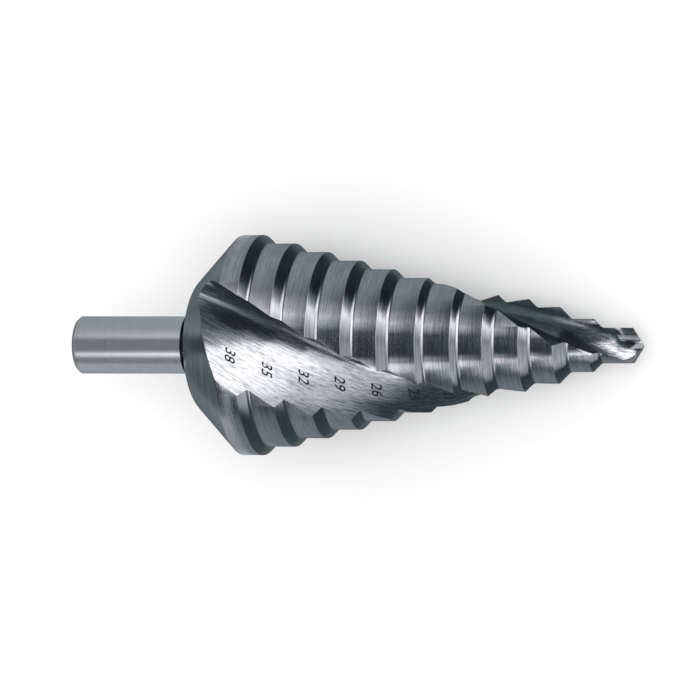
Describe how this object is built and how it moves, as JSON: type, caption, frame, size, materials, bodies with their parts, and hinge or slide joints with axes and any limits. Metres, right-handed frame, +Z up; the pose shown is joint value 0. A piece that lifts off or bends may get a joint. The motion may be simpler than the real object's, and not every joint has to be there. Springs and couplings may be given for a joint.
{
  "type": "step drill",
  "caption": "Stepped cone drill for sheet metal, with helical flutes, a split point and a plain round shank, lying on its side at rest.",
  "frame": {"origin": "on the surface it lies on, below the middle of its bounding box", "axes": "+X along its length, towards the point; +Z up; the drill's own axis lies in the XZ plane and dips towards the point"},
  "size_m": [0.099, 0.038, 0.0366],
  "materials": {
    "ground_steel": "ground high-speed steel, bright, with fine grinding lines"
  },
  "bodies": {
    "root": {"step_drill": "ground_steel"}
  },
  "joints": []
}
